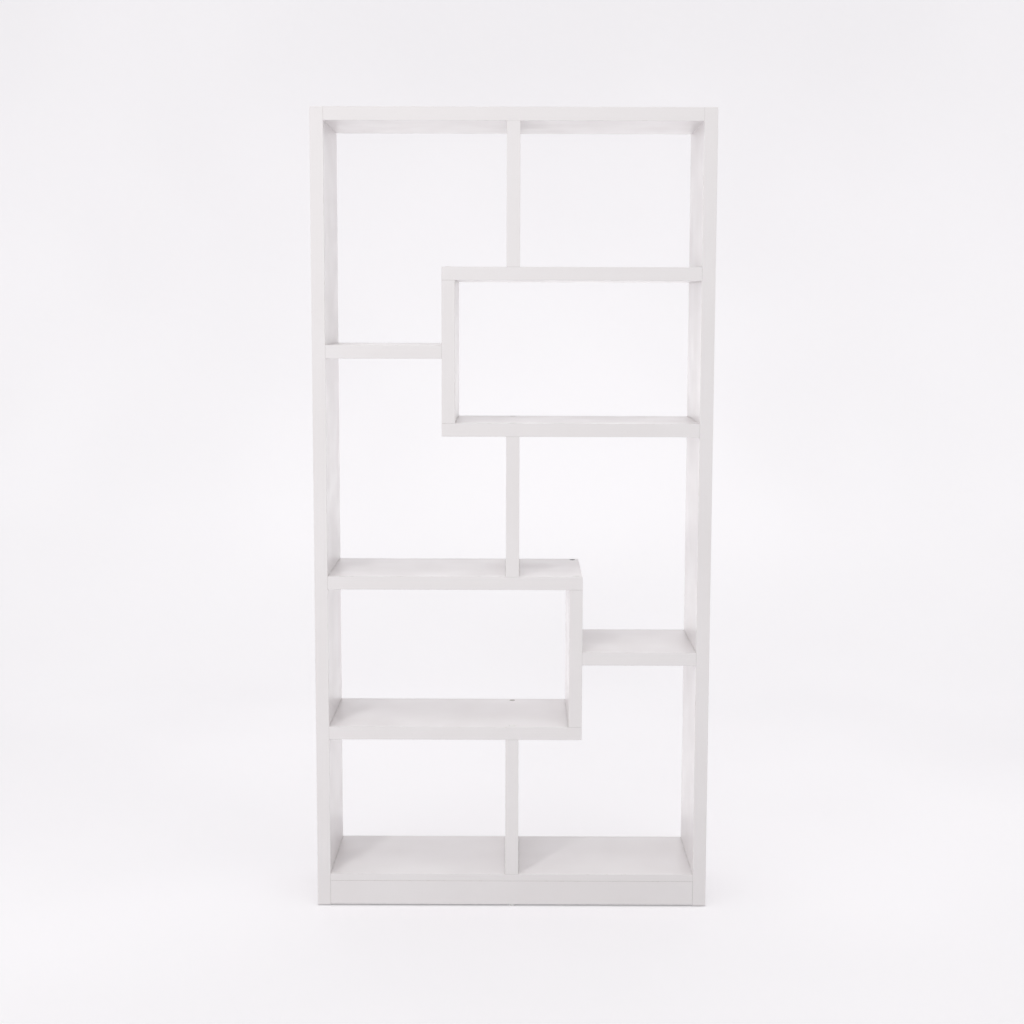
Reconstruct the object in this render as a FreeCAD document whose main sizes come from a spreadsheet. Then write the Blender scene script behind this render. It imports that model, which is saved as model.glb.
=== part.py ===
# Open bookshelf whose offset boxes climb like a staircase: boards held by loose tenons and screws
import FreeCAD
import Part
import Sketcher
import os
from collections import namedtuple

# Driving dimensions in millimetres
SIZES = {
    # Whole shelf
    "overall_width": 900.0,
    "overall_depth": 290.0,
    "overall_height": 1820.0,
    "board_thickness": 30.0,
    "short_shelf_length": 260.0,
    "edge_ease": 0.8,
    # Base
    "base_height": 76.0,
    "bottom_shelf_thickness": 16.0,
    "plinth_thickness": 16.0,
    "plinth_floor_gap": 4.0,
    # Glides
    "side_glide_diameter": 18.0,
    "side_glide_thickness": 2.0,
    "side_glide_inset": 40.0,
    "plinth_glide_diameter": 10.0,
    # Loose tenons
    "tenon_thickness": 8.0,
    "tenon_width": 60.0,
    "tenon_length": 30.0,
    "tenon_face_depth": 10.0,
    "tenon_clearance": 0.1,
    "tenon_end_gap": 0.5,
    "tenon_inset": 60.0,
    "plinth_tenon_width": 30.0,
    # Screws
    "screw_length": 50.0,
    "screw_diameter": 6.0,
    "screw_head_diameter": 14.0,
    "screw_head_height": 4.0,
    "screw_clearance": 0.1,
    "screw_tip_gap": 1.0,
    "socket_width": 5.0,
    "socket_depth": 2.5,
    "screw_inset": 17.0,
    # Cover caps
    "cap_lip": 1.0,
    "cap_thickness": 1.2,
    "cap_stem_length": 2.0,
    "cap_stem_clearance": 0.05,
}
BAY_COUNT = 5
HEXAGON_SIDES = 6

# A board's body, with the expressions of its centre and size along each axis
Board = namedtuple("Board", "body centre size")

# A tenon's body, which lies along its own Z, with the expressions of its section
Tenon = namedtuple("Tenon", "body x y")

# Joints at both ends of a board that lies along an axis
BOTH_ENDS = {axis: [{axis: -1}, {axis: 1}] for axis in ("X", "Z")}

# The plane square to each joint's axis, and the axes that span it
PLANES = {"X": "YZ_Plane", "Z": "XY_Plane"}
ACROSS = {"X": ("Y", "Z"), "Z": ("X", "Y")}

# Turns that point a repeated form's own Z along an axis, forwards or backwards
QUARTER_TURN = 90
HALF_TURN = 180
TURNS = {
    ("X", 1): FreeCAD.Rotation(FreeCAD.Vector(0, 1, 0), QUARTER_TURN),
    ("X", -1): FreeCAD.Rotation(FreeCAD.Vector(0, 1, 0), -QUARTER_TURN),
    ("Z", 1): FreeCAD.Rotation(),
    ("Z", -1): FreeCAD.Rotation(FreeCAD.Vector(1, 0, 0), HALF_TURN),
}

doc = FreeCAD.newDocument("staircase_bookshelf")
sheet = doc.addObject("Spreadsheet::Sheet", "sizes")
for row, (alias, size) in enumerate(SIZES.items(), start=1):
    sheet.set(f"A{row}", alias)
    sheet.set(f"B{row}", str(size))
    sheet.setAlias(f"B{row}", alias)
doc.recompute()

boards = {}
groups = {}
cuts = []


def value(expression):
    """The present value of an expression over the sheet."""
    return float(sheet.evalExpression(expression))


def fix_point(sketch, geometry, vertex, x, y):
    """Dimension one point of a sketch from the sketch's origin."""
    for kind, expression in (("DistanceX", x), ("DistanceY", y)):
        constraint = Sketcher.Constraint(kind, -1, 1, geometry, vertex, value(expression))
        sketch.setExpression(f"Constraints[{sketch.addConstraint(constraint)}]", expression)


def draw_outline(sketch, corners):
    """Draw a closed outline of straight lines through dimensioned corners."""
    points = [FreeCAD.Vector(value(x), value(y), 0) for x, y in corners]
    lines = [Part.LineSegment(a, b) for a, b in zip(points, points[1:] + points[:1])]
    geometry = [sketch.addGeometry(line, False) for line in lines]
    for line, following in zip(geometry, geometry[1:] + geometry[:1]):
        sketch.addConstraint(Sketcher.Constraint("Coincident", line, 2, following, 1))
    for line, (x, y) in zip(geometry, corners):
        fix_point(sketch, line, 1, x, y)


def draw_rectangle(sketch, centre, width, height):
    """Draw a rectangle about a dimensioned centre."""
    x, y = centre
    left, right = f"{x} - ({width}) / 2", f"{x} + ({width}) / 2"
    low, high = f"{y} - ({height}) / 2", f"{y} + ({height}) / 2"
    draw_outline(sketch, [(left, low), (right, low), (right, high), (left, high)])


def draw_circles(sketch, spots, diameter):
    """Draw equal circles with dimensioned centres."""
    for x, y in spots:
        centre = FreeCAD.Vector(value(x), value(y), 0)
        circle = Part.Circle(centre, FreeCAD.Vector(0, 0, 1), value(diameter) / 2)
        geometry = sketch.addGeometry(circle, False)
        fix_point(sketch, geometry, 3, x, y)
        size = sketch.addConstraint(Sketcher.Constraint("Diameter", geometry, value(diameter)))
        sketch.setExpression(f"Constraints[{size}]", diameter)


def origin_plane(body, plane):
    """One of the body's own origin planes."""
    return next(item for item in body.Origin.OriginFeatures if item.Role == plane)


def new_sketch(body, plane, lift="0"):
    """A sketch on one of the body's own origin planes, lifted along its normal."""
    sketch = body.newObject("Sketcher::SketchObject", f"{body.Label}_sketch")
    sketch.AttachmentSupport = [(origin_plane(body, plane), "")]
    sketch.MapMode = "FlatFace"
    sketch.setExpression("AttachmentOffset.Base.z", lift)
    return sketch


def is_joined(edge, joined):
    """Whether an edge of a board lies in one of its joints, each given as the ends of axes that it is at."""
    return any(
        all(side * getattr(edge.CenterOfMass, axis.lower()) > edge.Tolerance for axis, side in joint.items())
        for joint in joined
    )


def make_board(label, centre, size, joined):
    """A board centred on its own origin and placed by its centre, with its edges eased outside its joints."""
    body = doc.addObject("PartDesign::Body", label)
    body.Label = label
    front = new_sketch(body, "XZ_Plane")
    draw_rectangle(front, ("0", "0"), size["X"], size["Z"])
    pad = body.newObject("PartDesign::Pad", f"{label}_pad")
    pad.Profile = front
    pad.SideType = "Symmetric"
    pad.setExpression("Length", size["Y"])
    doc.recompute()
    ease = body.newObject("PartDesign::Chamfer", f"{label}_ease")
    edges = enumerate(pad.Shape.Edges, start=1)
    ease.Base = (pad, [f"Edge{number}" for number, edge in edges if not is_joined(edge, joined)])
    ease.setExpression("Size", "sizes.edge_ease")
    for axis, expression in centre.items():
        body.setExpression(f"Placement.Base.{axis.lower()}", expression)
    boards[label] = Board(body, centre, size)


def face_sketch(board, axis, side):
    """A sketch on the board's face that looks along the axis, forwards or backwards."""
    return new_sketch(board.body, PLANES[axis], f"{side} * ({board.size[axis]}) / 2")


def own_spots(board, axis, spots):
    """Spots given on the whole shelf, in the board's own frame."""
    first, second = ACROSS[axis]
    return [(f"{u} - ({board.centre[first]})", f"{v} - ({board.centre[second]})") for u, v in spots]


def sink(board, side, sketch, depth):
    """Cut a sketch on one of the board's faces into the board."""
    pocket = board.body.newObject("PartDesign::Pocket", f"{board.body.Label}_pocket")
    pocket.Profile = sketch
    pocket.Reversed = side < 0
    pocket.setExpression("Length", depth)
    cuts.append(pocket)


def mortise(board, axis, side, spots, tenon, depth):
    """Slots for the ends of tenons in one face of a board."""
    sketch = face_sketch(board, axis, side)
    section = (tenon.x, tenon.y) if axis == "Z" else (tenon.y, tenon.x)
    width, height = (f"{size} + 2 * sizes.tenon_clearance" for size in section)
    for spot in own_spots(board, axis, spots):
        draw_rectangle(sketch, spot, width, height)
    sink(board, side, sketch, depth)


def pilot(board, axis, side, spots, depth):
    """Round pilot holes for screws in one face of a board."""
    sketch = face_sketch(board, axis, side)
    draw_circles(sketch, own_spots(board, axis, spots), SCREW_BORE)
    sink(board, side, sketch, depth)


def countersink(board, axis, side, spots):
    """Countersunk clearance holes right through a board, heads on the given face."""
    sketch = face_sketch(board, axis, side)
    draw_circles(sketch, own_spots(board, axis, spots), SCREW_BORE)
    doc.recompute()
    hole = board.body.newObject("PartDesign::Hole", f"{board.body.Label}_screw_holes")
    hole.Profile = sketch
    doc.recompute()
    hole.ThreadType = "None"
    hole.DepthType = "ThroughAll"
    hole.HoleCutType = "Countersink"
    hole.HoleCutCustomValues = True
    hole.Reversed = side < 0
    hole.setExpression("Diameter", SCREW_BORE)
    hole.setExpression("HoleCutDiameter", "sizes.screw_head_diameter + 2 * sizes.screw_clearance")
    hole.setExpression("HoleCutCountersinkAngle", HEAD_ANGLE)
    cuts.append(hole)


def place(form, group, axis, side, start, spot):
    """One more copy of a form in a group, pointing along the axis from its start."""
    links = groups.setdefault(group, [])
    link = doc.addObject("App::Link", f"{group}_{len(links) + 1}")
    link.LinkedObject = form
    link.Placement = FreeCAD.Placement(FreeCAD.Vector(), TURNS[axis, side])
    first, second = ACROSS[axis]
    for letter, expression in ((axis, start), (first, spot[0]), (second, spot[1])):
        link.setExpression(f"Placement.Base.{letter.lower()}", expression)
    links.append(link)


def tenon_joint(group, tenon, face_board, end_board, axis, side, spots):
    """Join a board's end to the face of another that looks along the axis, forwards or backwards."""
    end_depth = "sizes.tenon_length - sizes.tenon_face_depth + sizes.tenon_end_gap"
    mortise(face_board, axis, side, spots, tenon, "sizes.tenon_face_depth + sizes.tenon_end_gap")
    mortise(end_board, axis, -side, spots, tenon, end_depth)
    seam = f"{face_board.centre[axis]} + {side} * ({face_board.size[axis]}) / 2"
    for spot in spots:
        place(tenon.body, group, axis, side, f"{seam} - {side} * sizes.tenon_face_depth", spot)


def tenon_shelves(face_board, side, labels):
    """Two tenons at the end of each shelf that meets a board's face."""
    for label in labels:
        shelf = boards[label]
        spots = [(y, shelf.centre["Z"]) for y in pair("tenon_inset")]
        tenon_joint("shelf_tenons", board_tenon, face_board, shelf, "X", side, spots)


def screw_joint(face_board, end_board, axis, side, spots, capped):
    """Screw through a board into the end of the next one along the axis, with caps over some of the heads."""
    thickness = face_board.size[axis]
    countersink(face_board, axis, -side, spots)
    pilot(end_board, axis, -side, spots, f"sizes.screw_length - ({thickness}) + sizes.screw_tip_gap")
    start = f"{face_board.centre[axis]} - {side} * ({thickness}) / 2"
    for spot in spots:
        place(screw, "divider_screws", axis, side, start, spot)
    for spot in capped:
        place(cap, "screw_cover_caps", axis, -side, start, spot)


def make_disc(label, diameter, thickness):
    """A round plate that stands on its own origin."""
    body = doc.addObject("PartDesign::Body", label)
    sketch = new_sketch(body, "XY_Plane")
    draw_circles(sketch, [("0", "0")], diameter)
    pad = body.newObject("PartDesign::Pad", f"{label}_pad")
    pad.Profile = sketch
    pad.setExpression("Length", thickness)
    return body


def make_tenon(label, x, y):
    """A flat tenon that stands on its own origin."""
    body = doc.addObject("PartDesign::Body", label)
    sketch = new_sketch(body, "XY_Plane")
    draw_rectangle(sketch, ("0", "0"), x, y)
    pad = body.newObject("PartDesign::Pad", f"{label}_pad")
    pad.Profile = sketch
    pad.setExpression("Length", "sizes.tenon_length")
    return Tenon(body, x, y)


def shape_hexagon(prism, width, height):
    """Size a prism on its body's origin as a hexagon of a width across flats."""
    body = prism.getParentGeoFeatureGroup()
    prism.AttachmentSupport = [(origin_plane(body, "XY_Plane"), "")]
    prism.MapMode = "FlatFace"
    prism.Polygon = HEXAGON_SIDES
    prism.setExpression("Circumradius", f"({width}) / 2 / cos({HALF_TURN} / {HEXAGON_SIDES})")
    prism.setExpression("Height", height)


def make_screw():
    """A countersunk screw with a hexagon socket, its head on its own origin and its shank along Z."""
    body = doc.addObject("PartDesign::Body", "screw")
    profile = new_sketch(body, "XZ_Plane")
    draw_outline(profile, [
        ("0", "0"),
        ("sizes.screw_head_diameter / 2", "0"),
        ("sizes.screw_diameter / 2", "sizes.screw_head_height"),
        ("sizes.screw_diameter / 2", "sizes.screw_length"),
        ("0", "sizes.screw_length"),
    ])
    turned = body.newObject("PartDesign::Revolution", "screw_turned")
    turned.Profile = profile
    turned.ReferenceAxis = (profile, ["V_Axis"])
    socket = body.newObject("PartDesign::SubtractivePrism", "screw_socket")
    shape_hexagon(socket, "sizes.socket_width", "sizes.socket_depth")
    cuts.append(socket)
    return body


def make_cap():
    """A flat round cover cap on its own origin, with a hexagon stem that goes down into the screw's socket."""
    body = make_disc("cap", "sizes.screw_head_diameter + 2 * sizes.cap_lip", "sizes.cap_thickness")
    stem = body.newObject("PartDesign::AdditivePrism", "cap_stem")
    shape_hexagon(stem, "sizes.socket_width - 2 * sizes.cap_stem_clearance", "sizes.cap_stem_length")
    stem.setExpression("AttachmentOffset.Base.z", "-sizes.cap_stem_length")
    return body


def pair(inset):
    """Places near the front and the back edge of a board, an inset away from each."""
    reach = f"(sizes.overall_depth / 2 - sizes.{inset})"
    return f"-{reach}", reach


# Places that the boards share
INNER = "(sizes.overall_width / 2 - sizes.board_thickness)"
BOX_REACH = f"({INNER} - sizes.short_shelf_length)"
BOX_DIVIDER = f"({BOX_REACH} - sizes.board_thickness / 2)"
BOX_LENGTH = f"({INNER} + {BOX_REACH})"
BOX_SHIFT = f"(({INNER} - {BOX_REACH}) / 2)"
BAY = f"((sizes.overall_height - sizes.base_height) / {BAY_COUNT} - sizes.board_thickness)"
SCREW_BORE = "sizes.screw_diameter + 2 * sizes.screw_clearance"
HEAD_SLOPE = "(sizes.screw_head_diameter - sizes.screw_diameter) / 2 / sizes.screw_head_height"
HEAD_ANGLE = f"2 * atan({HEAD_SLOPE})"


def floor_of(bay):
    """Height of the floor of a bay, counted from 0 at the bottom."""
    return f"(sizes.base_height + {bay} * ({BAY} + sizes.board_thickness))"


def middle_of(bay):
    """Height of the middle of a bay."""
    return f"({floor_of(bay)} + {BAY} / 2)"


def make_shelf(label, bay, x, length, joined):
    """A full-depth shelf whose top is the floor of a bay."""
    height = f"({floor_of(bay)} - sizes.board_thickness / 2)"
    make_board(label, {"X": x, "Y": "0", "Z": height},
               {"X": length, "Y": "sizes.overall_depth", "Z": "sizes.board_thickness"}, joined)


def make_box_shelf(label, bay, side, inward):
    """A shelf from the side panel on one side to the end of its box, whose divider lies inward of it."""
    make_shelf(label, bay, f"({side} * {BOX_SHIFT})", BOX_LENGTH, [{"X": side}, {"X": -side, "Z": inward}])


def make_short_shelf(label, bay, x):
    """A short shelf between a side panel and a box, half way up a bay."""
    make_board(label, {"X": x, "Y": "0", "Z": middle_of(bay)},
               {"X": "sizes.short_shelf_length", "Y": "sizes.overall_depth", "Z": "sizes.board_thickness"},
               BOTH_ENDS["X"])


def make_divider(label, bay, x):
    """An upright that fills the height of a bay."""
    make_board(label, {"X": x, "Y": "0", "Z": middle_of(bay)},
               {"X": "sizes.board_thickness", "Y": "sizes.overall_depth", "Z": BAY}, BOTH_ENDS["Z"])


# Side panels, which stand on glides
SIDE_X = "((sizes.overall_width - sizes.board_thickness) / 2)"
SIDE_HEIGHT = "(sizes.overall_height - sizes.side_glide_thickness)"
SIDE_Z = "((sizes.overall_height + sizes.side_glide_thickness) / 2)"
side_size = {"X": "sizes.board_thickness", "Y": "sizes.overall_depth", "Z": SIDE_HEIGHT}
make_board("left_side_panel", {"X": f"(-{SIDE_X})", "Y": "0", "Z": SIDE_Z}, side_size, [])
make_board("right_side_panel", {"X": SIDE_X, "Y": "0", "Z": SIDE_Z}, side_size, [])

# Shelves: the lower box hangs on the left side panel, the upper box on the right one
make_box_shelf("lower_box_bottom_shelf", 1, -1, 1)
make_box_shelf("lower_box_top_shelf", 2, -1, -1)
make_box_shelf("upper_box_bottom_shelf", 3, 1, 1)
make_box_shelf("upper_box_top_shelf", 4, 1, -1)
make_shelf("top_panel", BAY_COUNT, "0", f"(2 * {INNER})", BOTH_ENDS["X"])
SHORT_X = f"(({INNER} + {BOX_REACH}) / 2)"
make_short_shelf("lower_right_shelf", 1, SHORT_X)
make_short_shelf("upper_left_shelf", 3, f"(-{SHORT_X})")

# Dividers, one in each bay
make_divider("bottom_center_divider", 0, "0")
make_divider("lower_box_divider", 1, BOX_DIVIDER)
make_divider("mid_center_divider", 2, "0")
make_divider("upper_box_divider", 3, f"(-{BOX_DIVIDER})")
make_divider("top_center_divider", 4, "0")

# Base: a thinner bottom shelf on a plinth along the front and the back
PLINTH_TOP = "(sizes.base_height - sizes.bottom_shelf_thickness)"
PLINTH_Y = "((sizes.overall_depth - sizes.plinth_thickness) / 2)"
PLINTH_Z = f"(({PLINTH_TOP} + sizes.plinth_floor_gap) / 2)"
make_board("bottom_shelf",
           {"X": "0", "Y": "0", "Z": "(sizes.base_height - sizes.bottom_shelf_thickness / 2)"},
           {"X": f"(2 * {INNER})", "Y": "sizes.overall_depth", "Z": "sizes.bottom_shelf_thickness"},
           BOTH_ENDS["X"])
plinth_size = {"X": f"(2 * {INNER})", "Y": "sizes.plinth_thickness",
               "Z": f"({PLINTH_TOP} - sizes.plinth_floor_gap)"}
make_board("front_plinth", {"X": "0", "Y": f"(-{PLINTH_Y})", "Z": PLINTH_Z}, plinth_size, BOTH_ENDS["X"])
make_board("rear_plinth", {"X": "0", "Y": PLINTH_Y, "Z": PLINTH_Z}, plinth_size, BOTH_ENDS["X"])

# Forms of the tenons, screws, caps and glides, which the groups repeat
board_tenon = make_tenon("board_tenon", "sizes.tenon_thickness", "sizes.tenon_width")
plinth_tenon = make_tenon("plinth_tenon", "sizes.plinth_tenon_width", "sizes.tenon_thickness")
screw = make_screw()
cap = make_cap()
side_glide = make_disc("side_glide", "sizes.side_glide_diameter", "sizes.side_glide_thickness")
plinth_glide = make_disc("plinth_glide", "sizes.plinth_glide_diameter", "sizes.plinth_floor_gap")

# Shelf ends tenoned into the side panels and the box dividers
left = boards["left_side_panel"]
right = boards["right_side_panel"]
tenon_shelves(left, 1, ["top_panel", "upper_left_shelf", "lower_box_top_shelf", "lower_box_bottom_shelf",
                        "bottom_shelf"])
tenon_shelves(right, -1, ["top_panel", "upper_box_top_shelf", "upper_box_bottom_shelf", "lower_right_shelf",
                          "bottom_shelf"])
tenon_shelves(boards["upper_box_divider"], -1, ["upper_left_shelf"])
tenon_shelves(boards["lower_box_divider"], 1, ["lower_right_shelf"])

# Plinth ends tenoned into the side panels
for label in ("front_plinth", "rear_plinth"):
    plinth = boards[label]
    spots = [(plinth.centre["Y"], plinth.centre["Z"])]
    tenon_joint("plinth_tenons", plinth_tenon, left, plinth, "X", 1, spots)
    tenon_joint("plinth_tenons", plinth_tenon, right, plinth, "X", -1, spots)

# Dividers: each foot tenoned into the shelf below it, each head screwed from the shelf above it
stacked = [
    ("bottom_shelf", "bottom_center_divider", "lower_box_bottom_shelf"),
    ("lower_box_bottom_shelf", "lower_box_divider", "lower_box_top_shelf"),
    ("lower_box_top_shelf", "mid_center_divider", "upper_box_bottom_shelf"),
    ("upper_box_bottom_shelf", "upper_box_divider", "upper_box_top_shelf"),
    ("upper_box_top_shelf", "top_center_divider", "top_panel"),
]
lost_rear_caps = ["bottom_center_divider", "lower_box_divider"]
for below, label, above in stacked:
    divider = boards[label]
    x = divider.centre["X"]
    tenon_joint("divider_tenons", board_tenon, boards[below], divider, "Z", 1, [(x, "0")])
    front, rear = [(x, y) for y in pair("screw_inset")]
    capped = [front] if label in lost_rear_caps else [front, rear]
    screw_joint(boards[above], divider, "Z", -1, [front, rear], capped)

# Glides under the side panels and under the middle of each plinth
for x in (left.centre["X"], right.centre["X"]):
    for y in pair("side_glide_inset"):
        place(side_glide, "side_glides", "Z", 1, "0", (x, y))
for y in (boards["front_plinth"].centre["Y"], boards["rear_plinth"].centre["Y"]):
    place(plinth_glide, "plinth_glides", "Z", 1, "0", ("0", y))

nodes = [board.body for board in boards.values()]
for label, links in groups.items():
    group = doc.addObject("Part::Compound", label)
    group.Label = label
    group.Links = links
    nodes.append(group)
doc.recompute()

# Nothing is written unless every feature built and every cut removed material
for item in doc.Objects:
    if "Invalid" in item.State or "Error" in item.State:
        raise RuntimeError(f"{item.Label} failed to build")
for cut in cuts:
    if cut.Shape.Volume >= cut.BaseFeature.Shape.Volume:
        raise RuntimeError(f"{cut.Label} removes nothing")
for node in nodes:
    if node.Shape.isNull() or not node.Shape.isValid():
        raise RuntimeError(f"{node.Label} has no valid shape")

os.makedirs("parts", exist_ok=True)
for node in nodes:
    node.Shape.exportStep(f"parts/{node.Label}.step")
    print(node.Label, len(node.Shape.Solids), round(node.Shape.Volume))
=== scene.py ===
# Looks of the staircase bookshelf: white laminate boards, beech tenons, dark screws and pale cover caps
import math

import bmesh
import bpy
from mathutils import Matrix, Vector


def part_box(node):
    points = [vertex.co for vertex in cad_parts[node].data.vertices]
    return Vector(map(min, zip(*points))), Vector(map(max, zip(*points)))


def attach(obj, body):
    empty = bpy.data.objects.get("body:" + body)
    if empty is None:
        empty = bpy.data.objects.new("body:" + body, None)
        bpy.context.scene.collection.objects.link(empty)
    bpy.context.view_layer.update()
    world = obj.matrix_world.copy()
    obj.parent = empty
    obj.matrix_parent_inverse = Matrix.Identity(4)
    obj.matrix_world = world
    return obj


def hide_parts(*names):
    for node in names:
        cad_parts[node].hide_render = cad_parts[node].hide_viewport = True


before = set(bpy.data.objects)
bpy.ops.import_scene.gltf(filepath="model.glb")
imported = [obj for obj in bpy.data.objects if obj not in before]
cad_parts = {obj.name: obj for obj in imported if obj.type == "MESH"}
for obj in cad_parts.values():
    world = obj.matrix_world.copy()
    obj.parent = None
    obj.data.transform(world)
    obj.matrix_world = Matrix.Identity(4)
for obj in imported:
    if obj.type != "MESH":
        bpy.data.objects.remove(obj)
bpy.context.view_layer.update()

# Boards, each with its joints: a joint names the ends of axes where it lies, and edges there stay square
SHELF_ENDS = [{"x": -1}, {"x": 1}]
DIVIDER_ENDS = [{"z": -1}, {"z": 1}]
BOARDS = {
    "left_side_panel": [],
    "right_side_panel": [],
    "top_panel": SHELF_ENDS,
    "upper_box_top_shelf": [{"x": 1}, {"x": -1, "z": -1}],
    "upper_box_bottom_shelf": [{"x": 1}, {"x": -1, "z": 1}],
    "lower_box_top_shelf": [{"x": -1}, {"x": 1, "z": -1}],
    "lower_box_bottom_shelf": [{"x": -1}, {"x": 1, "z": 1}],
    "upper_left_shelf": SHELF_ENDS,
    "lower_right_shelf": SHELF_ENDS,
    "bottom_shelf": SHELF_ENDS,
    "top_center_divider": DIVIDER_ENDS,
    "upper_box_divider": DIVIDER_ENDS,
    "mid_center_divider": DIVIDER_ENDS,
    "lower_box_divider": DIVIDER_ENDS,
    "bottom_center_divider": DIVIDER_ENDS,
    "front_plinth": [],
    "rear_plinth": [],
}
TENONS = ["shelf_tenons", "divider_tenons", "plinth_tenons"]

# Sizes in metres
EDGE_RADIUS = 0.0007
SOCKET_WIDTH = 0.005
SOCKET_DEPTH = 0.0025
HEAD_DIAMETER = 0.014
HEAD_HEIGHT = 0.004
HEAD_RIM = 0.0003
SHANK_DIAMETER = 0.006
TIP_DIAMETER = 0.0028
THREAD_DEPTH = 0.0008
THREAD_PITCH = 0.003
HOLE_CLEARANCE = 0.0001
CUT_OVERRUN = 0.0007
CAP_THICKNESS = 0.0012
CAP_RIM = 0.0005
CAP_DOME = 0.00025
CAP_STEM_WIDTH = 0.0049
GLIDE_RIM = 0.0006
GLIDE_DISH = 0.0003
SAME_PLACE = 0.00001

# Steps and turns of the round forms
EDGE_SEGMENTS = 3
ROUND_PROFILE = 0.5
ROUND_STEPS = 48
SOCKET_SIDES = 6
FULL_TURN = 2 * math.pi
QUARTER_TURN = math.pi / 2
SHARP_ANGLE = math.radians(40)

# Shares of a cap's rim, of its radius and dome, and of a glide's radius and rim
CAP_RIM_SHARES = (0.0, 0.35, 0.7, 1.0)
CAP_DOME_SHARES = ((0.6, 0.2), (0.2, 0.0))
GLIDE_DISH_SHARE = 0.3
GLIDE_TREAD_SHARE = 0.5
GLIDE_RIM_SHARE = 0.3

# Colours
LAMINATE_WHITE = (0.875, 0.846, 0.85, 1)
LAMINATE_SHADE = (0.855, 0.824, 0.826, 1)
LAMINATE_PRINT = (0.84, 0.81, 0.81, 1)
LAMINATE_CORE = (0.62, 0.57, 0.52, 1)
# Grey of the painted shade in the laminate's corners and seams, also the dust on the lower screws
DUST_AND_SHADE_GREY = (0.50, 0.47, 0.45, 1)
BEECH_LIGHT = (0.56, 0.37, 0.21, 1)
BEECH_DARK = (0.42, 0.25, 0.13, 1)
STEEL_DARK = (0.018, 0.018, 0.02, 1)
STEEL_RUBBED = (0.06, 0.06, 0.065, 1)
CAP_WHITE = (0.86, 0.845, 0.835, 1)
CAP_SHADE = (0.82, 0.80, 0.785, 1)
GLIDE_PALE = (0.76, 0.75, 0.74, 1)
GLIDE_SCUFFED = (0.58, 0.57, 0.56, 1)
PAPER_LIGHT = (0.93, 0.915, 0.935, 1)
PAPER_SHADE = (0.90, 0.885, 0.905, 1)
SKY_WHITE = (1.0, 1.0, 1.0, 1)

# Patterns: noise that eases from low to high, or from 0 to 1, while it goes from start to end
EVEN = (1, 1, 1)
CLOUDS = {"scale": 5, "detail": 4, "start": 0.35, "end": 0.65}
PRINT = {"scale": 900, "detail": 2, "start": 0.45, "end": 0.75, "high": 0.5}
RUBBING = {"scale": 60, "detail": 6, "start": 0.56, "end": 0.68, "high": 0.6}
# Blotches of the painted shade in corners and seams
CORNER_SHADE_BLOTCHES = {"scale": 25, "detail": 4, "start": 0.3, "end": 0.6, "low": 0.1, "high": 0.4}
SATIN_ROUGHNESS = {"scale": 14, "detail": 5, "start": 0.3, "end": 0.7, "low": 0.30, "high": 0.40}
GRAIN_NOISE = {"scale": 220, "detail": 5, "stretch": (0.12, 1, 1)}
GRAIN = {**GRAIN_NOISE, "start": 0.35, "end": 0.7}
GRAIN_ROUGHNESS = {**GRAIN_NOISE, "start": 0.3, "end": 0.7, "low": 0.55, "high": 0.75}
FLECKS = {"scale": 900, "detail": 2, "stretch": (0.3, 1, 1), "start": 0.62, "end": 0.7, "high": 0.7}
STEEL_RUBS = {"scale": 800, "detail": 5, "start": 0.5, "end": 0.75}
STEEL_ROUGHNESS = {"scale": 1500, "detail": 3, "start": 0.3, "end": 0.7, "low": 0.4, "high": 0.62}
PLASTIC_WEAR = {"scale": 300, "detail": 5, "start": 0.45, "end": 0.75}
PLASTIC_ROUGHNESS = {"scale": 700, "detail": 3, "start": 0.3, "end": 0.7}
CAP_ROUGHNESS = {**PLASTIC_ROUGHNESS, "low": 0.35, "high": 0.5}
GLIDE_ROUGHNESS = {**PLASTIC_ROUGHNESS, "low": 0.5, "high": 0.65}
PAPER_CLOUDS = {"scale": 0.6, "detail": 2, "start": 0.35, "end": 0.65}

# Relief: noise with a strength, and a depth in metres
LAMINATE_SKIN = {"scale": 500, "detail": 3, "strength": 0.05, "depth": 0.0002}
BEECH_PORES = {**GRAIN_NOISE, "strength": 0.2, "depth": 0.0002}
STEEL_SKIN = {"scale": 3000, "detail": 2, "strength": 0.1, "depth": 0.0001}
PLASTIC_SKIN = {"scale": 4000, "detail": 2, "strength": 0.1, "depth": 0.0001}

# Shine of the surfaces that have one value all over
LAMINATE_SHEEN = 0.32
STEEL_METALLIC = 0.6
PAPER_ROUGHNESS = 0.95
PAPER_SHEEN = 0.1

# Painted shade in corners and seams: its reach in metres, and the share of open space over a flat face and
# in a corner
CORNER_REACH = 0.006
CORNER_SAMPLES = 8
FLAT_SHARE = 1.0
CORNER_SHARE = 0.5
# Distances in metres under the top board between which the painted corner shade fades out
CORNER_SHADE_FADE_START = 0.12
CORNER_SHADE_FADE_END = 0.06
# Dust on the screws: the heights in metres between which it sets in, and the share that it covers
SCREWS_CLEAN_OVER = 0.7
SCREWS_DUSTY_UNDER = 0.5
SCREW_DUST = 0.92

# Camera at the photograph's angle
CAMERA_PLACE = Vector((0.00434, -3.96393, 1.37417))
CAMERA_YAW = math.radians(0.0862)
CAMERA_PITCH = math.radians(-6.749)
CAMERA_ROLL = math.radians(0.1572)
CAMERA_LENS = 59.80
CAMERA_SENSOR = 36.0

# Stage in metres: a floor that bends up into a backdrop
STAGE_FRONT = -9.0
STAGE_BEND = 2.0
STAGE_RADIUS = 1.8
STAGE_HEIGHT = 8.0
STAGE_HALF_WIDTH = 9.0
STAGE_STEPS = 24

# Glow of the stage where it is seen, and the heights in metres between which it changes
FLOOR_GLOW = 0.31
WALL_GLOW = 0.365
HIGH_GLOW = 0.345
GLOW_RISE_END = 0.6
GLOW_FALL_START = 1.0
GLOW_FALL_END = 2.6

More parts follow.
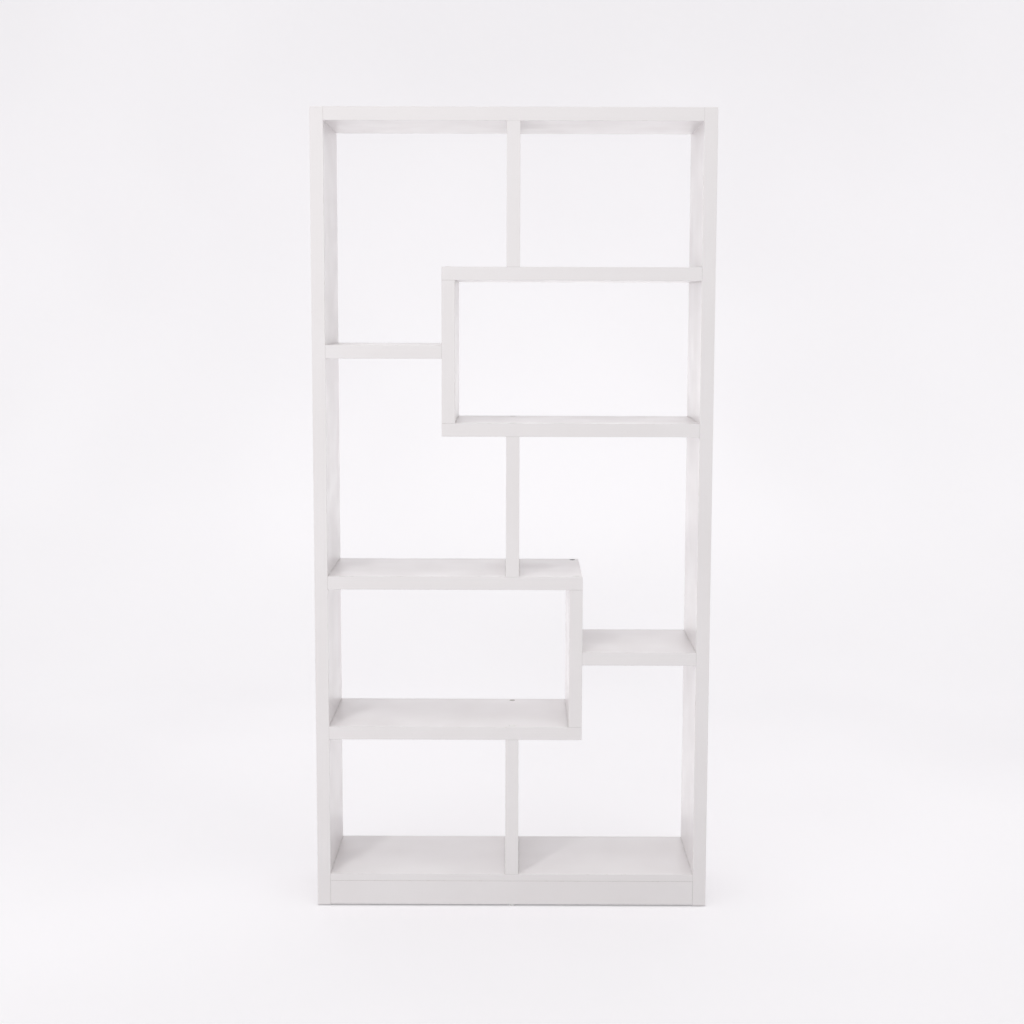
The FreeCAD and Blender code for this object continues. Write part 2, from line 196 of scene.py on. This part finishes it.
# Lamps of the room, of the shelf alone and of the stage alone: place, aim, width, height, power in watts
ROOM_LAMPS = {
    "overhead": ((0.0, -0.9, 4.2), (0.0, -0.2, 0.0), 2.6, 2.0, 20.0),
}
SHELF_LAMPS = {
    "tall_strip": ((-1.6, -3.1, 1.9), (0.0, 0.0, 1.9), 0.35, 3.2, 39.5),
    "right": ((2.71, -1.21, 2.45), (0.0, 0.0, 0.6), 0.7, 0.7, 2.5),
    "backdrop_high": ((0.0, 3.2, 2.0), (0.0, 0.0, 2.0), 6.0, 3.5, 22.5),
    "backdrop_middle": ((0.0, 2.6, 0.9), (0.0, 0.0, 1.7), 4.0, 0.8, 1.9),
    "backdrop_low": ((0.0, 2.2, 0.25), (0.0, 0.0, 1.2), 4.0, 0.5, 2.8),
    "floor_behind": ((0.0, 1.3, 0.02), (0.0, 1.3, 3.0), 3.0, 1.6, 7.5),
    "floor_in_front": ((0.0, -1.3, 0.02), (0.0, -1.3, 3.0), 3.0, 1.6, 1.5),
}
STAGE_LAMPS = {
    "behind": ((0.0, 1.6, 3.6), (0.0, -0.3, 0.0), 3.0, 1.6, 10.0),
}
# Lamps whose narrow highlight would clip to white
NO_HIGHLIGHT = ["tall_strip"]
# Strength of the world as light, and where it is seen
WORLD_STRENGTH = 0.587
WORLD_SEEN = 0.87

# Sockets of a colour mix node
MIX_FIRST = 6
MIX_SECOND = 7
MIX_RESULT = 2


# Forms
def link(name, form):
    """A new object of a finished form, smooth over its roundings and flat on its flats."""
    bmesh.ops.recalc_face_normals(form, faces=form.faces[:])
    for face in form.faces:
        face.smooth = True
    mesh = bpy.data.meshes.new(name)
    form.to_mesh(mesh)
    form.free()
    piece = bpy.data.objects.new(name, mesh)
    bpy.context.scene.collection.objects.link(piece)
    return piece


def solids_of(node):
    """Lowest and highest corner of each separate solid of a CAD node, from left to right."""
    form = bmesh.new()
    form.from_mesh(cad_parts[node].data)
    bmesh.ops.remove_doubles(form, verts=form.verts[:], dist=SAME_PLACE)
    unseen = set(form.verts)
    corners = []
    while unseen:
        reached = [unseen.pop()]
        for vert in reached:
            beside = {edge.other_vert(vert) for edge in vert.link_edges} & unseen
            unseen -= beside
            reached.extend(beside)
        places = [vert.co for vert in reached]
        corners.append((Vector(map(min, zip(*places))), Vector(map(max, zip(*places)))))
    form.free()
    return sorted(corners, key=lambda pair: tuple(pair[0]))


def is_joined(edge, middle, joints):
    """Whether an edge of a plain box lies in one of its joints."""
    offset = (edge.verts[0].co + edge.verts[1].co) / 2 - middle
    return any(
        all(side * getattr(offset, axis) > SAME_PLACE for axis, side in joint.items())
        for joint in joints
    )


def mark_rounding(form, low, high):
    """An attribute that is 1 in the middle of the rounded edges and 0 on the flats."""
    layer = form.verts.layers.float.new("edge")
    for vert in form.verts:
        insets = [min(vert.co[i] - low[i], high[i] - vert.co[i]) for i in range(3)]
        turning = [inset for inset in insets if SAME_PLACE < inset < EDGE_RADIUS - SAME_PLACE]
        vert[layer] = 1.0 if len(turning) > 1 else 0.0


def add_block(form, low, high, radius, joints=()):
    """A block with rounded edges, apart from those in its joints."""
    middle = (low + high) / 2
    verts = bmesh.ops.create_cube(form, size=1)["verts"]
    for vert in verts:
        vert.co = middle + vert.co * (high - low)
    edges = {edge for vert in verts for edge in vert.link_edges if not is_joined(edge, middle, joints)}
    bmesh.ops.bevel(
        form, geom=list(edges), offset=radius, segments=EDGE_SEGMENTS, profile=ROUND_PROFILE, affect="EDGES"
    )


def rounded_board(name, low, high, joints):
    """A board whose rounded edges are marked for its looks."""
    form = bmesh.new()
    add_block(form, low, high, EDGE_RADIUS, joints)
    mark_rounding(form, low, high)
    return link(name, form)


def lathe(form, place, rings):
    """Rings of a height and a radius by angle about an upright axis, joined and closed at both ends."""
    loops = []
    for height, radius in rings:
        loop = []
        for step in range(ROUND_STEPS):
            angle = FULL_TURN * step / ROUND_STEPS
            reach = radius(angle)
            offset = Vector((reach * math.cos(angle), reach * math.sin(angle), height))
            loop.append(form.verts.new(place + offset))
        loops.append(loop)
    for lower, upper in zip(loops, loops[1:]):
        for step in range(ROUND_STEPS):
            following = (step + 1) % ROUND_STEPS
            form.faces.new((lower[step], lower[following], upper[following], upper[step]))
    form.faces.new(loops[0])
    form.faces.new(loops[-1])


def circle(radius):
    """The radius of a circle at every angle."""
    return lambda angle: radius


def hexagon(width):
    """The radius of a hexagon of a width across flats, by angle."""
    sector = FULL_TURN / SOCKET_SIDES
    return lambda angle: width / 2 / math.cos(angle % sector - sector / 2)


def screw_rings(length):
    """A countersunk screw, from the floor of its socket over its head and down its thread."""
    head = HEAD_DIAMETER / 2
    crest = SHANK_DIAMETER / 2
    rings = [
        (-SOCKET_DEPTH, hexagon(SOCKET_WIDTH)),
        (0.0, hexagon(SOCKET_WIDTH)),
        (0.0, circle(head - HEAD_RIM)),
        (-HEAD_RIM, circle(head)),
        (-HEAD_HEIGHT, circle(crest)),
    ]
    turns = int((length - HEAD_HEIGHT) / THREAD_PITCH) - 1
    for turn in range(1, turns + 1):
        height = -HEAD_HEIGHT - turn * THREAD_PITCH
        rings.append((height, circle(crest)))
        rings.append((height - THREAD_PITCH / 2, circle(crest - THREAD_DEPTH)))
    rings.append((-length, circle(TIP_DIAMETER / 2)))
    return rings


def cap_rings(radius, stem_length):
    """A cover cap, from the foot of its stem over its rim to a slightly domed top."""
    rings = [
        (-stem_length, hexagon(CAP_STEM_WIDTH)),
        (0.0, hexagon(CAP_STEM_WIDTH)),
        (0.0, circle(radius)),
    ]
    shoulder = CAP_THICKNESS - CAP_DOME - CAP_RIM
    for share in CAP_RIM_SHARES:
        turn = share * QUARTER_TURN
        inset = CAP_RIM * (1 - math.cos(turn))
        rings.append((shoulder + CAP_RIM * math.sin(turn), circle(radius - inset)))
    for reach, drop in CAP_DOME_SHARES:
        rings.append((CAP_THICKNESS - drop * CAP_DOME, circle(reach * radius)))
    return rings


def glide_rings(radius, thickness):
    """A round glide, from its dished middle over its softened rim to the board."""
    softened = GLIDE_RIM_SHARE * GLIDE_RIM
    return [
        (GLIDE_DISH, circle(GLIDE_DISH_SHARE * radius)),
        (0.0, circle(GLIDE_TREAD_SHARE * radius)),
        (0.0, circle(radius - GLIDE_RIM)),
        (softened, circle(radius - softened)),
        (GLIDE_RIM, circle(radius)),
        (thickness, circle(radius)),
    ]


def make_screws():
    """All the screws, their heads where the CAD heads are."""
    form = bmesh.new()
    for low, high in solids_of("divider_screws"):
        middle = (low + high) / 2
        lathe(form, Vector((middle.x, middle.y, high.z)), screw_rings(high.z - low.z))
    return link("screws", form)


def make_caps():
    """All the cover caps, seated where the CAD caps are."""
    form = bmesh.new()
    for low, high in solids_of("screw_cover_caps"):
        middle = (low + high) / 2
        seat = high.z - CAP_THICKNESS
        lathe(form, Vector((middle.x, middle.y, seat)), cap_rings((high.x - low.x) / 2, seat - low.z))
    return link("cover_caps", form)


def make_side_glides():
    """Round glides under the side panels."""
    form = bmesh.new()
    for low, high in solids_of("side_glides"):
        middle = (low + high) / 2
        rings = glide_rings((high.x - low.x) / 2, high.z - low.z)
        lathe(form, Vector((middle.x, middle.y, low.z)), rings)
    return link("round_side_glides", form)


def make_plinth_feet():
    """A foot under the middle of each plinth, as deep as the plinth is thick."""
    form = bmesh.new()
    for low, high in solids_of("plinth_glides"):
        plinth_low, plinth_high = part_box("front_plinth" if low.y < 0 else "rear_plinth")
        near = Vector((low.x, plinth_low.y, low.z))
        far = Vector((high.x, plinth_high.y, high.z))
        add_block(form, near, far, GLIDE_RIM)
    return link("plinth_feet", form)


def cut_screw_holes(board, low, high):
    """Countersunk holes through a shelf for the screws whose heads lie in its top."""
    heads = [pair for pair in solids_of("divider_screws") if abs(pair[1].z - high.z) < SAME_PLACE]
    if not heads:
        return
    form = bmesh.new()
    head = circle(HEAD_DIAMETER / 2 + HOLE_CLEARANCE)
    bore = circle(SHANK_DIAMETER / 2 + HOLE_CLEARANCE)
    below = low.z - high.z - CUT_OVERRUN
    for screw_low, screw_high in heads:
        middle = (screw_low + screw_high) / 2
        rings = [(below, bore), (-HEAD_HEIGHT, bore), (0.0, head), (CUT_OVERRUN, head)]
        lathe(form, Vector((middle.x, middle.y, high.z)), rings)
    cutter = link("screw_holes", form)
    cut = board.modifiers.new("screw_holes", "BOOLEAN")
    cut.operation = "DIFFERENCE"
    cut.object = cutter
    evaluated = board.evaluated_get(bpy.context.evaluated_depsgraph_get())
    board.data = bpy.data.meshes.new_from_object(evaluated)
    board.modifiers.remove(cut)
    bpy.data.objects.remove(cutter)


def soften(piece):
    """Shading that stays flat on the flats and turns over the rounded edges."""
    piece.data.set_sharp_from_angle(angle=SHARP_ANGLE)
    normals = piece.modifiers.new("normals", "WEIGHTED_NORMAL")
    normals.keep_sharp = True


# Parts of the materials
def material_tree(name):
    """A new material, its node tree and its shader."""
    material = bpy.data.materials.new(name)
    material.use_nodes = True
    tree = material.node_tree
    return material, tree, tree.nodes["Principled BSDF"]


def noise(tree, scale, detail, stretch=EVEN):
    """Noise over the piece's own metres, drawn out along the axes of a small stretch."""
    coordinates = tree.nodes.new("ShaderNodeTexCoord")
    mapping = tree.nodes.new("ShaderNodeMapping")
    mapping.inputs["Scale"].default_value = stretch
    texture = tree.nodes.new("ShaderNodeTexNoise")
    texture.inputs["Scale"].default_value = scale
    texture.inputs["Detail"].default_value = detail
    tree.links.new(coordinates.outputs["Object"], mapping.inputs["Vector"])
    tree.links.new(mapping.outputs["Vector"], texture.inputs["Vector"])
    return texture.outputs["Fac"]


def spread(tree, source, start, end, low=0.0, high=1.0):
    """A value that eases from low to high while its source goes from start to end."""
    ramp = tree.nodes.new("ShaderNodeMapRange")
    ramp.interpolation_type = "SMOOTHSTEP"
    ramp.inputs["From Min"].default_value = start
    ramp.inputs["From Max"].default_value = end
    ramp.inputs["To Min"].default_value = low
    ramp.inputs["To Max"].default_value = high
    tree.links.new(source, ramp.inputs["Value"])
    return ramp.outputs["Result"]


def pattern(tree, scale, detail, start, end, low=0.0, high=1.0, stretch=EVEN):
    """Noise that eases from low to high."""
    return spread(tree, noise(tree, scale, detail, stretch), start, end, low, high)


def combine(tree, operation, first, second):
    """The product of two values, or the larger or smaller one."""
    result = tree.nodes.new("ShaderNodeMath")
    result.operation = operation
    tree.links.new(first, result.inputs[0])
    tree.links.new(second, result.inputs[1])
    return result.outputs["Value"]


def mix(tree, amount, first, second):
    """A colour between a first one, plain or from a node, and a second plain one."""
    blend = tree.nodes.new("ShaderNodeMix")
    blend.data_type = "RGBA"
    tree.links.new(amount, blend.inputs["Factor"])
    if isinstance(first, bpy.types.NodeSocket):
        tree.links.new(first, blend.inputs[MIX_FIRST])
    else:
        blend.inputs[MIX_FIRST].default_value = first
    blend.inputs[MIX_SECOND].default_value = second
    return blend.outputs[MIX_RESULT]


def in_corners(tree):
    """A value that is 1 in the corner between two boards and 0 beyond a small reach."""
    shade = tree.nodes.new("ShaderNodeAmbientOcclusion")
    shade.samples = CORNER_SAMPLES
    shade.inputs["Distance"].default_value = CORNER_REACH
    return spread(tree, shade.outputs["AO"], FLAT_SHARE, CORNER_SHARE)


def is_seen(tree):
    """1 for what is seen, also in a mirror or through glass, and 0 for light that falls on things."""
    path = tree.nodes.new("ShaderNodeLightPath").outputs
    mirrored = combine(tree, "MAXIMUM", path["Is Glossy Ray"], path["Is Transmission Ray"])
    return combine(tree, "MAXIMUM", path["Is Camera Ray"], mirrored)


def height_over_floor(tree):
    """The height over the floor, in metres."""
    coordinates = tree.nodes.new("ShaderNodeTexCoord")
    axes = tree.nodes.new("ShaderNodeSeparateXYZ")
    tree.links.new(coordinates.outputs["Object"], axes.inputs["Vector"])
    return axes.outputs["Z"]


def shows_corner_shade(tree):
    """1 where the painted corner shade shows, and 0 in the corners close under the top board."""
    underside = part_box("top_panel")[0].z
    fade = (underside - CORNER_SHADE_FADE_START, underside - CORNER_SHADE_FADE_END)
    below = spread(tree, height_over_floor(tree), *fade, low=1.0, high=0.0)
    above = spread(tree, height_over_floor(tree), underside, underside + EDGE_RADIUS)
    return combine(tree, "MAXIMUM", below, above)


def rounding(tree):
    """The attribute that marks a board's rounded edges."""
    attribute = tree.nodes.new("ShaderNodeAttribute")
    attribute.attribute_name = "edge"
    return attribute.outputs["Fac"]


def add_relief(tree, shader, scale, detail, strength, depth, stretch=EVEN):
    """Small noisy relief that only the light shows."""
    bump = tree.nodes.new("ShaderNodeBump")
    bump.inputs["Strength"].default_value = strength
    bump.inputs["Distance"].default_value = depth
    tree.links.new(noise(tree, scale, detail, stretch), bump.inputs["Height"])
    tree.links.new(bump.outputs["Normal"], shader.inputs["Normal"])


# Materials
def laminate():
    """Satin white laminate with faint clouds, a fine print, rubbed edges, painted shade in its corners and
    seams, and a fine skin.
    """
    material, tree, shader = material_tree("white_laminate")
    colour = mix(tree, pattern(tree, **CLOUDS), LAMINATE_WHITE, LAMINATE_SHADE)
    colour = mix(tree, pattern(tree, **PRINT), colour, LAMINATE_PRINT)
    edges = rounding(tree)
    rubbed = combine(tree, "MULTIPLY", edges, pattern(tree, **RUBBING))
    colour = mix(tree, rubbed, colour, LAMINATE_CORE)
    # Painted shade: darker grey in blotches in the corners and along the seams between boards, left out
    # close under the top board
    dust_and_shade = combine(tree, "MAXIMUM", edges, pattern(tree, **CORNER_SHADE_BLOTCHES))
    dust_and_shade = combine(tree, "MULTIPLY", dust_and_shade, in_corners(tree))
    dust_and_shade = combine(tree, "MULTIPLY", dust_and_shade, shows_corner_shade(tree))
    colour = mix(tree, dust_and_shade, colour, DUST_AND_SHADE_GREY)
    tree.links.new(colour, shader.inputs["Base Color"])
    tree.links.new(pattern(tree, **SATIN_ROUGHNESS), shader.inputs["Roughness"])
    shader.inputs["Specular IOR Level"].default_value = LAMINATE_SHEEN
    add_relief(tree, shader, **LAMINATE_SKIN)
    return material


def beech():
    """Raw beech with grain drawn out along its length and small dark flecks."""
    material, tree, shader = material_tree("beech")
    colour = mix(tree, pattern(tree, **GRAIN), BEECH_LIGHT, BEECH_DARK)
    colour = mix(tree, pattern(tree, **FLECKS), colour, BEECH_DARK)
    tree.links.new(colour, shader.inputs["Base Color"])
    tree.links.new(pattern(tree, **GRAIN_ROUGHNESS), shader.inputs["Roughness"])
    add_relief(tree, shader, **BEECH_PORES)
    return material


def dark_steel():
    """Black-oxide steel, rubbed in places, with dust on the screws of the lower shelves."""
    material, tree, shader = material_tree("dark_steel")
    colour = mix(tree, pattern(tree, **STEEL_RUBS), STEEL_DARK, STEEL_RUBBED)
    dust_and_shade = spread(tree, height_over_floor(tree), SCREWS_CLEAN_OVER, SCREWS_DUSTY_UNDER, high=SCREW_DUST)
    colour = mix(tree, dust_and_shade, colour, DUST_AND_SHADE_GREY)
    tree.links.new(colour, shader.inputs["Base Color"])
    tree.links.new(pattern(tree, **STEEL_ROUGHNESS), shader.inputs["Roughness"])
    shader.inputs["Metallic"].default_value = STEEL_METALLIC
    add_relief(tree, shader, **STEEL_SKIN)
    return material


def plastic(name, plain, worn, roughness):
    """Moulded plastic with a fine spark texture and faint wear."""
    material, tree, shader = material_tree(name)
    colour = mix(tree, pattern(tree, **PLASTIC_WEAR), plain, worn)
    tree.links.new(colour, shader.inputs["Base Color"])
    tree.links.new(pattern(tree, **roughness), shader.inputs["Roughness"])
    add_relief(tree, shader, **PLASTIC_SKIN)
    return material


def paper():
    """Matt studio paper with a very faint unevenness, and a glow that is seen but lights nothing."""
    material, tree, shader = material_tree("studio_paper")
    colour = mix(tree, pattern(tree, **PAPER_CLOUDS), PAPER_LIGHT, PAPER_SHADE)
    tree.links.new(colour, shader.inputs["Base Color"])
    tree.links.new(colour, shader.inputs["Emission Color"])
    height = height_over_floor(tree)
    rising = spread(tree, height, 0.0, GLOW_RISE_END, FLOOR_GLOW, WALL_GLOW)
    falling = spread(tree, height, GLOW_FALL_END, GLOW_FALL_START, HIGH_GLOW, WALL_GLOW)
    glow = combine(tree, "MULTIPLY", is_seen(tree), combine(tree, "MINIMUM", rising, falling))
    tree.links.new(glow, shader.inputs["Emission Strength"])
    shader.inputs["Roughness"].default_value = PAPER_ROUGHNESS
    shader.inputs["Specular IOR Level"].default_value = PAPER_SHEEN
    return material


# Pieces on the model
def dress(piece, node, material):
    """Give a piece its looks and let it stand in for a CAD node."""
    piece.data.materials.clear()
    piece.data.materials.append(material)
    soften(piece)
    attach(piece, "root")
    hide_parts(node)


def dress_boards():
    """Rounded laminate boards in the place of the CAD boards."""
    white = laminate()
    for node, joints in BOARDS.items():
        low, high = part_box(node)
        board = rounded_board(f"{node}_board", low, high, joints)
        cut_screw_holes(board, low, high)
        dress(board, node, white)


def dress_fittings():
    """Screws, caps, glides and feet in the place of the CAD ones."""
    dress(make_screws(), "divider_screws", dark_steel())
    white = plastic("cap_plastic", CAP_WHITE, CAP_SHADE, CAP_ROUGHNESS)
    dress(make_caps(), "screw_cover_caps", white)
    pale = plastic("glide_plastic", GLIDE_PALE, GLIDE_SCUFFED, GLIDE_ROUGHNESS)
    dress(make_side_glides(), "side_glides", pale)
    dress(make_plinth_feet(), "plinth_glides", pale)


def dress_tenons():
    """Beech on the CAD tenons, which keep their shape."""
    wood = beech()
    for node in TENONS:
        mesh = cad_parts[node].data
        mesh.materials.clear()
        mesh.materials.append(wood)


# Stage, light and camera
def make_stage():
    """One sweep of floor and backdrop."""
    profile = [(STAGE_FRONT, 0.0)]
    for step in range(STAGE_STEPS + 1):
        turn = QUARTER_TURN * step / STAGE_STEPS
        profile.append((STAGE_BEND + STAGE_RADIUS * math.sin(turn), STAGE_RADIUS * (1 - math.cos(turn))))
    profile.append((STAGE_BEND + STAGE_RADIUS, STAGE_HEIGHT))
    form = bmesh.new()
    left = [form.verts.new((-STAGE_HALF_WIDTH, y, z)) for y, z in profile]
    right = [form.verts.new((STAGE_HALF_WIDTH, y, z)) for y, z in profile]
    for step in range(len(profile) - 1):
        form.faces.new((left[step], right[step], right[step + 1], left[step + 1]))
    stage = link("stage", form)
    stage.data.materials.append(paper())
    return stage


def make_world():
    """Even light from all around, which looks as pale as the backdrop where it is seen."""
    world = bpy.data.worlds.new("studio")
    world.use_nodes = True
    tree = world.node_tree
    sky = tree.nodes["Background"]
    sky.inputs["Color"].default_value = SKY_WHITE
    strength = spread(tree, is_seen(tree), 0.0, 1.0, WORLD_STRENGTH, WORLD_SEEN)
    tree.links.new(strength, sky.inputs["Strength"])
    bpy.context.scene.world = world


def gather(name, pieces):
    """A collection of pieces, for the lamps that light nothing else."""
    collection = bpy.data.collections.new(name)
    for piece in pieces:
        collection.objects.link(piece)
    return collection


def make_lamp(name, place, aim, width, height, power, receivers):
    """A soft rectangular lamp that looks at a point, and is itself unseen."""
    lamp = bpy.data.lights.new(name, "AREA")
    lamp.shape = "RECTANGLE"
    lamp.size = width
    lamp.size_y = height
    lamp.energy = power
    holder = bpy.data.objects.new(name, lamp)
    holder.location = place
    holder.rotation_euler = (Vector(aim) - Vector(place)).to_track_quat("-Z", "Y").to_euler()
    holder.visible_camera = False
    holder.visible_glossy = name not in NO_HIGHLIGHT
    holder.light_linking.receiver_collection = receivers
    bpy.context.scene.collection.objects.link(holder)


def make_lamps(stage):
    """The room's lamp, and those that light the shelf or the stage alone."""
    pieces = [piece for piece in bpy.context.scene.objects if piece.type == "MESH" and piece != stage]
    shelf = gather("lit_shelf", pieces)
    floor = gather("lit_stage", [stage])
    for lamps, receivers in ((ROOM_LAMPS, None), (SHELF_LAMPS, shelf), (STAGE_LAMPS, floor)):
        for name, lamp in lamps.items():
            make_lamp(name, *lamp, receivers)


def make_camera():
    """A camera at the photograph's place and angle."""
    camera = bpy.data.objects.new("camera", bpy.data.cameras.new("camera"))
    camera.data.lens = CAMERA_LENS
    camera.data.sensor_width = CAMERA_SENSOR
    level = Matrix.Rotation(QUARTER_TURN, 4, "X")
    yaw = Matrix.Rotation(CAMERA_YAW, 4, "Y")
    pitch = Matrix.Rotation(CAMERA_PITCH, 4, "X")
    roll = Matrix.Rotation(CAMERA_ROLL, 4, "Z")
    camera.matrix_world = Matrix.Translation(CAMERA_PLACE) @ level @ yaw @ pitch @ roll
    bpy.context.scene.collection.objects.link(camera)
    bpy.context.scene.camera = camera


dress_boards()
dress_fittings()
dress_tenons()
stage = make_stage()
make_world()
make_lamps(stage)
make_camera()
bpy.context.scene.view_settings.view_transform = "Standard"
